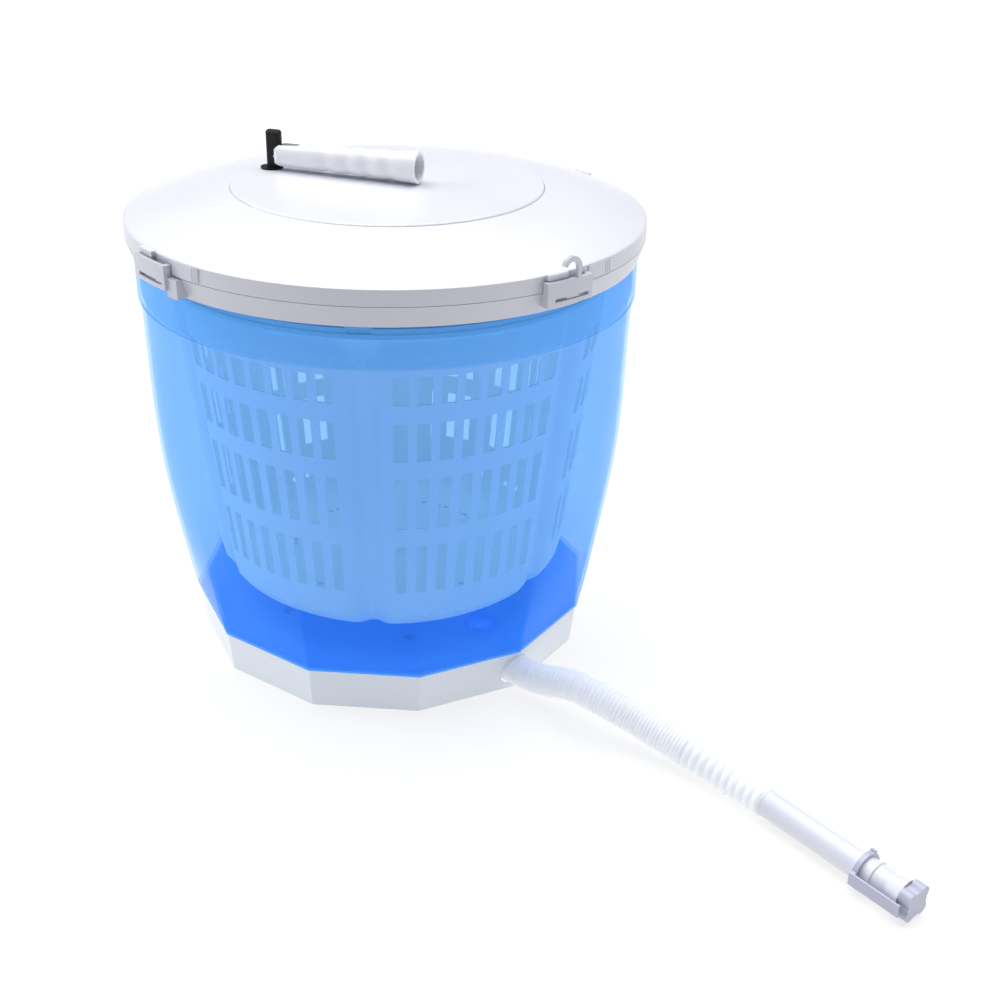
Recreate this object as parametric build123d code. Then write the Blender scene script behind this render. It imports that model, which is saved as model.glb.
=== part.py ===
from build123d import *
import math
import os

# Portable washing machine with a hand crank, in millimetres.
# The origin is on the floor under the middle of the base, +Z is up and the drain leaves along +X.

# Clearances
seat = 0.3
running = 0.05
mesh_slack = 0.12

# Base and feet
base_height = 33.0
base_foot_radius = 148.0
base_deck_radius = 151.0
base_wall = 3.0
base_rib = 6.0
deck = 3.0
foot_height = 1.5
foot_radius = 9.0
foot_circle = 130.0
foot_stem_radius = 4.0
foot_stem = 8.0
column_wall = 6.5
support_count = 6
support_turn = 30.0

# Base screws
base_screw_circle = 100.0
base_screw_radius = 1.5
base_screw_length = 5.0
base_screw_head = 3.2
base_washer_radius = 6.5
base_washer = 1.0
tub_boss_radius = 4.5

# Tub
sides = 12
tub_foot_radius = 152.3
tub_rim_radius = 173.5
tub_height = 279.7
tub_wall = 2.5
tub_floor = 3.0
facet_fade = 110.0
tub_curve = 2.3
shoulder_step = 2.0
shoulder_drop = 38.0
shoulder_fall = 28.4
ledge = 0.8

# Pivot of the basket
pin_radius = 4.0
pin_length = 33.5
pin_end = 1.5
pivot_boss = 14.7
pivot_boss_radius = 12.0
lower_boss_radius = 9.0
lower_boss = 6.3
washer_radius = 10.0
washer = 0.7
washer_play = 0.2
bush_wall = 3.0
basket_hub_radius = 11.0
basket_hub = 12.0
hub_relief = 2.0

# Drain
drain_x = 108.0
drain_axis = 16.5
elbow_radius = 9.0
elbow_bore = 6.9
spigot_radius = 8.7
spigot_end = 146.0
shoulder_length = 4.0
flange_radius = 14.0
flange = 2.5
nut_radius = 13.5
nut = 3.0
drain_seal_thickness = 1.5
hose_hole_radius = 12.6

# Ring on the tub
ring_skirt = 13.7
ring_lip = 2.4
ring_lip_radius = 168.0
ring_low_radius = 176.0
ring_high_radius = 180.3
clip_count = 4
clip_reach = 186.0
clip_band = 2.5
clip_width = 37.5
clip_column = 6.0
clip_end = 3.2
clip_foot = 5.4
clip_height = 21.0
clip_slot_low = 8.2
clip_slot_high = 10.6
hook_width = 3.2
hook_depth = 2.6
hook_gap = 9.4
hook_height = 14.1
hook_curl = 20.0
hook_side = 6.7
stop_width = 9.5

# Lid
lid_skirt = 10.4
lid_wall = 2.5
lid_top_radius = 180.0
dome_rise = 16.6
dome_bulge = 2.3
well_radius = 108.6
well_depth = 18.0
well_floor = 3.0
rib_radius = 103.5
rib_width = 4.0
lug_width = 16.3
lug_depth = 2.4
lug_rise = 0.8
tongue_drop = 8.0
grip_panel_width = 24.0
grip_panel_height = 9.0
gasket_radius = 171.0
gasket_width = 4.4
gasket_height = 4.0

# Crank disc
disc_proud = 1.3
disc_plate = 3.0
disc_skirt = 8.3
disc_skirt_width = 3.0
post_circle = 89.7
post_angle = 210.1

# Small screws of the lid
tap_radius = 1.25
small_screw_radius = 1.2
small_screw_head = 2.6
small_head_height = 1.8

# Gears
gear_module = 1.5
pressure_angle = 20.0
sun_teeth = 24
planet_teeth = 24
ring_teeth = sun_teeth + 2 * planet_teeth
gear_width = 8.0
gear_plate = 3.0
gear_plate_radius = 50.0
gear_lift = 0.7
planet_pin_radius = 3.0
planet_washer = 0.8
planet_bolt = 0.8
ring_gear_radius = 60.0
ring_flange = 6.0
shaft_radius = 9.0
lid_bush_wall = 3.0
lid_boss = 16.0
lid_boss_wall = 3.0
housing_flange = 2.5
housing_flange_width = 6.0
shaft_seal = 2.6
retainer_turn = 30.0
retainer_count = 3
retainer_half = 8.0
retainer_plate = 2.5

# Basket
lobes = 6
lobe_turn = -43.5
crown_half = 22.6
lobe_corner = 13.0
flute_fillet = 8.0
basket_height = 239.0
basket_top_reach = 157.0
basket_taper = 0.117
basket_wall = 1.8
basket_floor = 2.4
chine_height = 26.0
chine_width = 34.0
chine_steps = 5
basket_flange_radius = 160.0
basket_flange = 3.0
block_width = 16.0
block_height = 6.0
block_reach = 158.0
block_depth = 8.0
slot_columns = 8
slot_spread = 20.8
slot_rows = ((40.0, 79.0, 7.2), (93.5, 132.8, 8.4), (146.5, 174.8, 9.5), (188.3, 208.4, 10.4))
foot_hole = 3.6
foot_hole_height = 14.0
weep_radius = 2.0
weep_circle = 78.0
weep_count = 8

# Cover of the basket
cover_radius = 159.0
cover = 3.0
cover_gap = 0.5
cover_hub = 10.9
cover_hub_radius = 15.0
shank_radius = 6.0
cover_screw_radius = 2.0
cover_screw_length = 17.0

# Handle
post_inset = 2.5
post_width = 11.1
post_thickness = 6.6
post_corner = 2.5
post_top_edge = 1.2
post_height = 27.0
post_flange_radius = 8.0
post_flange = 1.0
post_spigot_radius = 4.5
post_boss = 6.3
post_boss_radius = 8.9
post_bush_wall = 2.5
post_screw_radius = 1.5
post_screw_length = 9.0
post_washer_height = 1.0
fold_height = 10.2
fold_inboard = 5.9
fold_pin_radius = 1.0
fold_pin_near = 6.8
fold_pin_far = 7.6
grip_length = 108.5
grip_near = 1.7
grip_near_radius = 8.0
grip_far_radius = 10.8
grip_nose = 8.4
grip_nose_corner = 5.5
grip_tilt = 0.76
grip_waves = 4
grip_wave_start = 31.3
grip_wave_length = 16.1
grip_wave_depth = 0.9
grip_wall = 1.2
grip_web = 4.0

# Hose, cuff, spout tube and cap
hose_radius = 11.3
hose_groove = 10.2
hose_bore = 9.0
hose_pitch = 2.7
cuff_radius = 11.2
cuff_groove = 9.7
cuff_bore = 7.6
cuff_pitch = 6.9
spout_radius = 9.2
spout_bore = 7.4
spout_flare = 11.0
flare_length = 10.0
collar_radius = 11.9
collar_length = 3.4
collar_place = 75.0
ear_width = 3.0
ear_height = 1.6
ear_turn = -30.0
bump_radius = 10.2
bump_length = 2.4
bump_place = 84.0
cap_radius = 12.4
cap_core_radius = 9.0
cap_lobes = 4
cap_lobe_radius = 4.5
cap_height = 8.0
plug_radius = 6.9
plug_length = 6.0
strap_width = 9.0
strap = 1.2
strap_turn = 182.0

# Route of the hose, chosen to follow its low arch to the floor
hose_points = [
    Vector(126.0, 0.0, drain_axis),
    Vector(165.0, 0.0, drain_axis),
    Vector(198.5, 7.6, 28.5),
    Vector(230.5, 11.4, 28.0),
    Vector(258.0, 21.4, 20.7),
    Vector(293.0, 26.75, 16.3),
]
cuff_points = [
    hose_points[-1],
    Vector(328.0, 32.1, 11.9),
    Vector(358.0, 31.2, 12.15),
]
spout_end = Vector(472.0, 27.78, 13.1)

# Heights that follow from the sizes above
tub_bottom = base_height + seat
tub_floor_top = tub_bottom + tub_floor
tub_top = tub_bottom + tub_height
ring_top = tub_top + seat + ring_lip
ring_bottom = ring_top - ring_skirt
lid_bottom = ring_top + seat
lid_shoulder = lid_bottom + lid_skirt
dome_top = lid_shoulder + dome_rise
disc_top = dome_top + disc_proud
disc_under = disc_top - disc_plate
well_top = dome_top - well_depth
well_under = well_top - well_floor
pivot_top = tub_floor_top + pivot_boss
basket_bottom = pivot_top + washer + seat
basket_top = basket_bottom + basket_height
chine_top = basket_bottom + chine_height
cover_bottom = basket_top + cover_gap
cover_top = cover_bottom + cover
plate_bottom = well_top + seat
plate_top = plate_bottom + gear_plate
gear_bottom = plate_top + gear_lift
gear_top = gear_bottom + gear_width
lid_boss_bottom = well_under - lid_boss
pin_bottom = tub_bottom - lower_boss + pin_end
planet_pin_top = gear_top + planet_washer + 0.6
spigot_bottom = -disc_plate - post_boss - 0.4

# Radii that follow from the sizes above
pitch_sun = gear_module * sun_teeth / 2
pitch_planet = gear_module * planet_teeth / 2
planet_circle = pitch_sun + pitch_planet
disc_radius = well_radius - seat
band_inner = clip_reach - clip_band
plate_screw_circle = gear_plate_radius - 5.0
ring_top_flange = ring_gear_radius + 8.0
ring_screw_circle = ring_gear_radius + 4.0
retainer_inner = ring_gear_radius + 2.5
retainer_screw_circle = ring_top_flange + 8.0
shaft_bore = shaft_radius + lid_bush_wall
post_face = post_inset + post_width / 2 - fold_inboard
grip_slot = post_thickness + 2 * seat
grip_slot_end = math.hypot(post_face, post_height - fold_height) + 1.5 * seat
collar_inner = tub_rim_radius + 0.5
spout_direction = (spout_end - cuff_points[-1]).normalized()
spout_length = (spout_end - cuff_points[-1]).length - cap_height


def polar(radius, degrees):
    """X and Y of a point at an angle about the Z axis."""
    return radius * math.cos(math.radians(degrees)), radius * math.sin(math.radians(degrees))


def upright(radius, bottom, top, x=0.0, y=0.0):
    """Upright cylinder between two heights."""
    return Pos(x, y, (bottom + top) / 2) * Cylinder(radius, top - bottom)


def sleeve(outer, inner, bottom, top, x=0.0, y=0.0):
    """Upright tube between two radii and two heights."""
    return upright(outer, bottom, top, x, y) - upright(inner, bottom - 1, top + 1, x, y)


def lying(radius, start, end, height, y=0.0):
    """Cylinder along X between two places."""
    return Pos((start + end) / 2, y, height) * Rot(0, 90, 0) * Cylinder(radius, end - start)


def profile(corners):
    """Face in the XZ plane through (radius, height) corners."""
    return make_face(Polyline(*[(r, 0, z) for r, z in corners], close=True))


def turned(*corners):
    """Solid of revolution about Z through (radius, height) corners."""
    return revolve(profile(corners), Axis.Z)


def sector(inner, outer, bottom, top, start, end):
    """Part of an upright ring between two angles in degrees."""
    corners = [(inner, bottom), (outer, bottom), (outer, top), (inner, top)]
    return Rot(0, 0, start) * revolve(profile(corners), Axis.Z, end - start)


def arc_of(width, radius):
    """Angle in degrees of an arc of one width at one radius."""
    return math.degrees(width / radius)


def ring_of(count, turn, radius):
    """Evenly spaced places on a circle, with their angles."""
    angles = [turn + 360 / count * index for index in range(count)]
    return [(*polar(radius, angle), angle) for angle in angles]


def screw(shank, length, head, head_height):
    """Screw with its shank along +Z, its head under the origin and a socket in the head."""
    socket = Pos(0, 0, -head_height) * extrude(RegularPolygon(head * 0.55, 6), head_height * 0.55)
    return upright(shank, 0, length) + upright(head, -head_height, 0) - socket


def group(solids):
    """Several separate solids that share one node."""
    return Compound(children=[solid for item in solids for solid in item.solids()])


# Gear outlines
def involute(angle):
    return math.tan(angle) - angle


def half_tooth(teeth, radius, slack):
    """Half angle of an involute tooth at one radius, made thicker by slack on each flank."""
    pitch = gear_module * teeth / 2
    pressure = math.radians(pressure_angle)
    local = math.acos(min(1.0, pitch * math.cos(pressure) / radius))
    return math.pi / (2 * teeth) + slack / pitch + involute(pressure) - involute(local)


def gear_face(teeth, low, high, slack, turn):
    """Toothed face with four points on each flank."""
    radii = [low + (high - low) * step / 3 for step in range(4)]
    points = []
    for tooth in range(teeth):
        middle = turn + 360 / teeth * tooth
        flank = [(radius, math.degrees(half_tooth(teeth, radius, slack))) for radius in radii]
        points += [polar(radius, middle - half) for radius, half in flank]
        points += [polar(radius, middle + half) for radius, half in reversed(flank)]
    return make_face(Polyline(*points, close=True))


def outer_gear(teeth, turn):
    """Spur gear of one width with its teeth outwards, standing at the gears' height."""
    pitch = gear_module * teeth / 2
    face = gear_face(teeth, pitch - 1.25 * gear_module, pitch + gear_module, -mesh_slack, turn)
    return Pos(0, 0, gear_bottom) * extrude(face, gear_width)


# Base
def twelve(radius, height):
    """Regular outline of the base at one height, with corners on the axes."""
    return Pos(0, 0, height) * RegularPolygon(radius, sides)


def base():
    """Skirt, deck, foot columns and the holes for the drain, the bosses and the screws."""
    inset = base_wall / math.cos(math.pi / sides)
    deck_under = base_height - deck
    body = loft([twelve(base_foot_radius, foot_height), twelve(base_deck_radius, base_height)],
                ruled=True)
    body -= loft([twelve(base_foot_radius - inset, foot_height - 1),
                  twelve(base_deck_radius - inset, deck_under)], ruled=True)
    for x, y, angle in ring_of(support_count, support_turn, foot_circle):
        body += upright(foot_stem_radius + column_wall, foot_height, deck_under + 1, x, y)
        rib = Box(foot_circle / 2, base_wall, base_rib, align=(Align.MIN, Align.CENTER, Align.MAX))
        body += Pos(*polar(foot_circle / 5, angle), deck_under) * Rot(0, 0, angle) * rib
    for x, y, angle in ring_of(support_count, support_turn, foot_circle):
        body -= upright(foot_stem_radius + running, foot_height - 1, foot_height + foot_stem + seat, x, y)
    for x, y, angle in ring_of(support_count, support_turn, base_screw_circle):
        body -= upright(base_washer_radius + seat, foot_height - 1, deck_under, x, y)
        body -= upright(tub_boss_radius + 0.4, deck_under - 1, base_height + 1, x, y)
    body -= upright(lower_boss_radius + 0.4, deck_under - 1, base_height + 1)
    body -= upright(elbow_radius + 0.6, deck_under - 1, base_height + 1, drain_x)
    body -= lying(hose_hole_radius, base_foot_radius - 12, base_deck_radius + 2, drain_axis)
    return body


def feet():
    """Six rubber feet, each with a stem in its column."""
    solids = []
    for x, y, angle in ring_of(support_count, support_turn, foot_circle):
        foot = upright(foot_radius, 0, foot_height) + upright(
            foot_stem_radius, foot_height, foot_height + foot_stem)
        solids.append(Pos(x, y, 0) * foot)
    return group(solids)


def base_screws():
    """Six screws with washers that hold the base to the bosses of the tub."""
    under = base_height - deck
    solids = []
    for x, y, angle in ring_of(support_count, support_turn, base_screw_circle):
        fastener = Pos(0, 0, -base_washer) * screw(
            base_screw_radius, base_screw_length + base_washer, base_screw_head, 2.0)
        fastener += upright(base_washer_radius, -base_washer, 0)
        solids.append(Pos(x, y, under) * fastener)
    return group(solids)


# Tub
def tub_radius(height):
    """Radius to the corners of the tub at one height."""
    rise = (height - tub_bottom) / (ring_bottom - shoulder_drop - tub_bottom)
    return tub_rim_radius - (tub_rim_radius - tub_foot_radius) * (1 - min(1, rise)) ** tub_curve


def tub_section(height, inset):
    """Outline of the tub at one height: flat sides that swell into a circle."""
    roundness = min(1.0, (height - tub_bottom) / facet_fade)
    half = math.pi / sides
    radius = tub_radius(height) - inset / math.cos(half * (1 - roundness))
    middle = radius * (math.cos(half) + roundness * (1 - math.cos(half)))
    edges = []
    for side in range(sides):
        start = polar(radius, side * 360 / sides)
        end = polar(radius, (side + 1) * 360 / sides)
        if roundness == 0:
            edges.append(Line(start, end))
        else:
            edges.append(ThreePointArc(start, polar(middle, (side + 0.5) * 360 / sides), end))
    return Pos(0, 0, height) * make_face(edges)


def tub_form(bottom, inset):
    """Lofted form of the tub from one height up to the straight part under the rim."""
    straight = ring_bottom - shoulder_drop
    fade = tub_bottom + facet_fade
    heights = [bottom, (bottom + fade) / 2, fade, (fade + straight) / 2, straight]
    return loft([tub_section(height, inset) for height in heights])


def tub():
    """Translucent tub, twelve-sided at the foot and round at the rim, open at the top."""
    straight = ring_bottom - shoulder_drop
    step = ring_bottom - shoulder_fall
    inner = tub_rim_radius - tub_wall
    body = tub_form(tub_bottom, 0) - tub_form(tub_floor_top, tub_wall)
    body += turned(
        (tub_rim_radius, straight), (tub_rim_radius, step),
        (tub_rim_radius + shoulder_step, step + ledge),
        (tub_rim_radius + shoulder_step, ring_bottom - seat),
        (collar_inner, ring_bottom - seat), (collar_inner, tub_top),
        (collar_inner - tub_wall, tub_top), (collar_inner - tub_wall, ring_bottom),
        (inner + shoulder_step, ring_bottom - tub_wall),
        (inner + shoulder_step, step + 4), (inner, step + 1), (inner, straight))
    body += upright(pivot_boss_radius, tub_bottom, pivot_top)
    body += upright(lower_boss_radius, tub_bottom - lower_boss, tub_floor_top)
    for x, y, angle in ring_of(support_count, support_turn, base_screw_circle):
        body += upright(tub_boss_radius, base_height - deck + seat, tub_floor_top, x, y)
        body -= upright(base_screw_radius + running, base_height - deck,
                        base_height - deck + base_screw_length + seat, x, y)
    body -= upright(pin_radius + running, pin_bottom - seat, pivot_top + 1)
    body -= upright(elbow_radius + seat, tub_bottom - 1, tub_floor_top + 1, drain_x)
    return body


def pivot_pin():
    """Steel pin that the basket turns on, set in the boss of the tub."""
    pin = upright(pin_radius, pin_bottom, pin_bottom + pin_length)
    return chamfer(pin.edges().sort_by(Axis.Z)[-1], 0.8)


def thrust_washer():
    return sleeve(washer_radius, pin_radius + washer_play, pivot_top, pivot_top + washer)


# Drain through the floor of the tub
def drain_elbow():
    """Elbow with a flange under the deck and a spigot for the hose."""
    deck_under = base_height - deck
    top = tub_floor_top + drain_seal_thickness + nut
    body = upright(elbow_radius, drain_axis, top, drain_x)
    body += Pos(drain_x, 0, drain_axis) * Sphere(elbow_radius)
    body += lying(spigot_radius, drain_x, spigot_end, drain_axis)
    body += upright(flange_radius, deck_under - seat - flange, deck_under - seat, drain_x)
    start = hose_points[0].X
    body += lying(hose_radius, start - shoulder_length, start, drain_axis)
    body -= upright(elbow_bore, drain_axis, top + 1, drain_x)
    body -= Pos(drain_x, 0, drain_axis) * Sphere(elbow_bore)
    body -= lying(elbow_bore, drain_x, spigot_end + 1, drain_axis)
    return body


def drain_seal():
    return sleeve(nut_radius - 0.5, elbow_radius + running, tub_floor_top,
                  tub_floor_top + drain_seal_thickness, drain_x)


def drain_nut():
    """Flat six-sided nut that draws the elbow up against the deck."""
    bottom = tub_floor_top + drain_seal_thickness
    body = extrude(Pos(drain_x, 0, bottom) * RegularPolygon(nut_radius, 6), nut)
    return body - upright(elbow_radius + running, bottom - 1, bottom + nut + 1, drain_x)


# Hose and spout
def bend_radii(points):
    """Radius at each inner point: 0.45 of the shorter run over the tangent of half the turn."""
    radii = []
    for before, corner, after in zip(points, points[1:], points[2:]):
        turn = math.radians((corner - before).get_angle(after - corner))
        shorter = min((corner - before).length, (after - corner).length)
        radii.append(0.45 * shorter / math.tan(turn / 2))
    return radii


def route(points):
    """Straight runs joined by tangent arcs."""
    return FilletPolyline(*points, radius=bend_radii(points))


def longer(points, extra):
    """The same points with both ends drawn out in line."""
    first = points[0] + (points[0] - points[1]).normalized() * extra
    last = points[-1] + (points[-1] - points[-2]).normalized() * extra
    return [first] + points[1:-1] + [last]


def circle_on(path, place, radius):
    """Circle square to a path, with its X axis kept level."""
    tangent = path % place
    level = Vector(0, 0, 1).cross(tangent).normalized()
    return Plane(origin=path @ place, x_dir=level, z_dir=tangent) * Circle(radius)


def ribbed(points, pitch, crest, groove, bore):
    """Ribbed tube: a ruled loft through four circles for each rib, less its bore."""
    path = route(points)
    ribs = round(path.length / pitch)
    shape = ((0.0, groove), (0.25, crest), (0.6, crest), (0.85, groove))
    sections = []
    for rib in range(ribs):
        sections += [circle_on(path, (rib + share) / ribs, radius) for share, radius in shape]
    sections.append(circle_on(path, 1.0, groove))
    tube = loft(sections, ruled=True)
    opened = route(longer(points, 1.0))
    tube -= sweep(circle_on(opened, 0.0, bore), path=opened)
    area = math.pi * ((crest * 0.6 + groove * 0.4) ** 2 - bore ** 2)
    print("radii", [round(radius, 1) for radius in bend_radii(points)], "ribs", ribs)
    print("volume", round(tube.volume), "section times length", round(area * path.length))
    return tube


def drain_hose():
    return ribbed(hose_points, hose_pitch, hose_radius, hose_groove, hose_bore)


def bellows_cuff():
    return ribbed(cuff_points, cuff_pitch, cuff_radius, cuff_groove, cuff_bore)


def along_spout(body):
    """Place a body made along +Z on the axis of the spout, with X level and Y up."""
    level = Vector(0, 0, 1).cross(spout_direction).normalized()
    return Plane(origin=cuff_points[-1], x_dir=level, z_dir=spout_direction) * body


def spout_tube():
    """Straight tube with one low ring past the collar and a flare towards the cap."""
    flare_start = spout_length - flare_length
    body = upright(spout_radius, 0, flare_start)
    edge = bump_length / 4
    body += turned((0, bump_place), (spout_radius, bump_place), (bump_radius, bump_place + edge),
                   (bump_radius, bump_place + bump_length - edge),
                   (spout_radius, bump_place + bump_length), (0, bump_place + bump_length))
    body += turned((0, flare_start), (spout_radius, flare_start), (spout_flare, spout_length),
                   (0, spout_length))
    return along_spout(body - upright(spout_bore, -1, spout_length + 1))


def cap_strap():
    """Loop round the spout, with two ears and a flat strap that runs to the cap."""
    start = collar_place
    end = collar_place + collar_length
    body = upright(collar_radius, start, end)
    ear = Box(ear_width, collar_radius + ear_height, collar_length,
              align=(Align.CENTER, Align.MIN, Align.MIN))
    for turn in (ear_turn, ear_turn + 180):
        body += Pos(0, 0, start) * Rot(0, 0, turn) * ear
    clear = cap_radius + seat
    run = spout_length + cap_height * 0.6 - start
    tab = Box(clear + strap, strap_width, collar_length, align=(Align.MIN, Align.CENTER, Align.MIN))
    ribbon = Pos(clear, 0, 0) * Box(strap, strap_width, run,
                                    align=(Align.MIN, Align.CENTER, Align.MIN))
    body += Rot(0, 0, strap_turn) * Pos(0, 0, start) * (tab + ribbon)
    return along_spout(body - upright(spout_radius + running, start - 1, end + 1))


def spout_cap():
    """Cap with four round lobes and a plug that fits in the end of the spout."""
    bottom = spout_length + seat
    body = upright(cap_core_radius, bottom, bottom + cap_height)
    for x, y, angle in ring_of(cap_lobes, 180 / cap_lobes, cap_radius - cap_lobe_radius):
        body += upright(cap_lobe_radius, bottom, bottom + cap_height, x, y)
    body += upright(plug_radius, bottom - plug_length, bottom)
    return along_spout(body)


# Ring on the tub
def hook():
    """Small hook that stands on the clip over the drain, to hold the end of the hose up."""
    middle = clip_reach - hook_depth / 2
    radius = (hook_gap + hook_width) / 2
    base_level = ring_bottom + clip_height
    top = base_level + hook_height - radius - hook_width / 2
    across, rise = polar(radius, hook_curl)
    path = Line((middle, hook_side, base_level - 1), (middle, hook_side, top))
    path += ThreePointArc((middle, hook_side, top), (middle, hook_side - radius, top + radius),
                          (middle, hook_side - radius - across, top + rise))
    section = Plane(origin=(middle, hook_side, base_level - 1), z_dir=(0, 0, 1)) * Rectangle(
        hook_depth, hook_width)
    return sweep(section, path=path)


def clip(turn):
    """Raised band with a slot, and a pocket behind it for one tongue of the lid."""
    half = arc_of(clip_width / 2, clip_reach)
    left = arc_of(clip_column, clip_reach)
    end = arc_of(clip_end, clip_reach)
    top = ring_bottom + clip_height
    bottom = ring_bottom + clip_foot
    body = sector(band_inner, clip_reach, bottom, top, -half, half)
    body -= sector(band_inner - 1, clip_reach + 1, ring_bottom + clip_slot_low,
                   ring_bottom + clip_slot_high, left - half, half - end)
    for start in (-half, half - end):
        body += sector(ring_low_radius, clip_reach, bottom, ring_top - seat, start, start + end)
        body += sector(ring_high_radius + 0.6, clip_reach, bottom, top, start, start + end)
    return Rot(0, 0, turn) * body


def rim_ring():
    """Ring over the edge of the tub with four clips, one hook and one stop."""
    body = turned(
        (collar_inner + seat, ring_bottom), (ring_low_radius, ring_bottom),
        (ring_high_radius, ring_top), (ring_lip_radius, ring_top),
        (ring_lip_radius, tub_top + seat), (collar_inner + seat, tub_top + seat))
    for index in range(clip_count):
        body += clip(360 / clip_count * index)
    body += hook()
    half = arc_of(clip_width / 2, clip_reach)
    body += Rot(0, 0, -90) * sector(
        ring_low_radius, clip_reach - 2, ring_bottom + 1, ring_top - seat, half - 0.2,
        half + arc_of(stop_width, clip_reach))
    return body


# Lid
def dome():
    """Skirt and shallow dome down to the wall of the well."""
    inner_well = well_radius + lid_wall
    skirt_inner = ring_high_radius - lid_wall
    middle_radius = (lid_top_radius + well_radius) / 2
    middle_height = (lid_shoulder + dome_top) / 2
    outline = Polyline((lid_top_radius, 0, lid_shoulder), (ring_high_radius, 0, lid_bottom),
                       (skirt_inner, 0, lid_bottom), (skirt_inner, 0, lid_shoulder - lid_wall * 0.8))
    outline += ThreePointArc(
        (skirt_inner, 0, lid_shoulder - lid_wall * 0.8),
        (middle_radius, 0, middle_height + dome_bulge - lid_wall),
        (inner_well, 0, dome_top - lid_wall))
    outline += Polyline((inner_well, 0, dome_top - lid_wall), (inner_well, 0, well_under),
                        (well_radius, 0, well_under), (well_radius, 0, dome_top))
    outline += ThreePointArc((well_radius, 0, dome_top),
                             (middle_radius, 0, middle_height + dome_bulge),
                             (lid_top_radius, 0, lid_shoulder))
    return revolve(make_face(outline), Axis.Z)


def lug(turn):
    """Lug on the skirt of the lid, with the tongue that drops behind a clip."""
    outer = ring_high_radius + lug_depth
    left = -arc_of(lug_width, clip_reach)
    side = -arc_of(clip_width / 2 - clip_end - 0.4, clip_reach)
    body = sector(lid_top_radius - 1, outer, ring_bottom + clip_height + 0.6,
                  lid_shoulder + lug_rise, left, 0)
    body += sector(ring_high_radius + 0.5, outer, ring_top - tongue_drop,
                   lid_shoulder - 1.4, side, -0.2)
    body += sector(lid_top_radius - 1, outer, lid_bottom + seat, lid_shoulder - 1.4, side, -0.2)
    return Rot(0, 0, turn) * body


def grip_panel(turn):
    """Thin raised panel on the skirt beside a clip, with three upright ribs at its end."""
    start = arc_of(clip_width / 2 + 2, clip_reach)
    end = start + arc_of(grip_panel_width, lid_top_radius)
    bottom = lid_bottom + 0.8
    top = bottom + grip_panel_height
    body = sector(lid_top_radius - 1, ring_high_radius + 0.5, bottom, top, start, end)
    for index in range(3):
        place = end - arc_of(1.0 + 2.3 * index, lid_top_radius)
        body += sector(lid_top_radius - 1, ring_high_radius + 0.8, bottom, top,
                       place - 0.12, place + 0.12)
    return Rot(0, 0, turn) * body


def lid_shell():
    """Domed lid with the well of the crank disc, the guide rib, lugs and panels."""
    body = dome()
    body += sleeve(well_radius + lid_wall, shaft_bore, well_under, well_top)
    body += sleeve(rib_radius, rib_radius - rib_width, well_top - 1, disc_under - seat)
    channel = gasket_width / 2 + seat
    body += turned(
        (gasket_radius - channel - 1.5, lid_bottom + 2), (gasket_radius - channel, lid_bottom + 2),
        (gasket_radius - channel, lid_bottom + gasket_height),
        (gasket_radius + channel, lid_bottom + gasket_height),
        (gasket_radius + channel, lid_bottom + 2), (gasket_radius + channel + 1.5, lid_bottom + 2),
        (gasket_radius + channel + 1.5, lid_bottom + gasket_height + 1.5),
        (gasket_radius + 0.8, lid_bottom + gasket_height + 1.5),
        (gasket_radius + 0.8, lid_shoulder + 0.8), (gasket_radius - 0.8, lid_shoulder + 0.8),
        (gasket_radius - 0.8, lid_bottom + gasket_height + 1.5),
        (gasket_radius - channel - 1.5, lid_bottom + gasket_height + 1.5))
    for index in range(clip_count):
        body += lug(360 / clip_count * index)
        body += grip_panel(360 / clip_count * index)
    for x, y, angle in ring_of(4, 45, plate_screw_circle):
        body -= upright(tap_radius, well_under - 1, well_top + 1, x, y)
    for x, y, angle in ring_of(retainer_count, retainer_turn, retainer_screw_circle):
        body -= upright(tap_radius, well_under - 1, well_top + 1, x, y)
    for x, y, angle in ring_of(3, 90, planet_circle):
        body -= upright(planet_pin_radius + running, well_under - 1, well_top + 1, x, y)
    return body


def shaft_housing():
    """Flanged housing under the floor of the well, round the bush and the seal of the shaft."""
    outer = shaft_bore + lid_boss_wall
    body = sleeve(outer, shaft_bore, lid_boss_bottom, well_under)
    return body + sleeve(outer + housing_flange_width, shaft_bore, well_under - housing_flange,
                         well_under)


def lid_gasket():
    return sleeve(gasket_radius + gasket_width / 2, gasket_radius - gasket_width / 2,
                  lid_bottom, lid_bottom + gasket_height)


def lid_bush():
    """Bush of the shaft with a flange that carries the sun gear."""
    bottom = lid_boss_bottom + shaft_seal + 0.5
    body = upright(shaft_bore - running, bottom, well_top)
    body += upright(shaft_bore + 2, well_top, gear_bottom - seat)
    return body - upright(shaft_radius + running, bottom - 1, gear_bottom + 1)


def shaft_seal_ring():
    bottom = lid_boss_bottom + washer_play
    return sleeve(shaft_bore - running, shaft_radius + seat, bottom, bottom + shaft_seal)


# Gear train under the crank disc
def gear_plate_disc():
    """Plate on the floor of the well that steadies the pins of the planets."""
    body = upright(gear_plate_radius, plate_bottom, plate_top)
    body -= upright(shaft_bore + 2 + seat, plate_bottom - 1, plate_top + 1)
    for x, y, angle in ring_of(4, 45, plate_screw_circle):
        body -= upright(tap_radius, plate_bottom - 1, plate_top + 1, x, y)
    for x, y, angle in ring_of(3, 90, planet_circle):
        body -= upright(planet_pin_radius + running, plate_bottom - 1, plate_top + 1, x, y)
    return body


def gear_plate_screws():
    """Four screws driven up through the floor of the well into the plate."""
    fastener = screw(small_screw_radius, well_floor + gear_plate, small_screw_head,
                     small_head_height)
    return group([Pos(x, y, well_under) * fastener
                  for x, y, angle in ring_of(4, 45, plate_screw_circle)])


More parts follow.
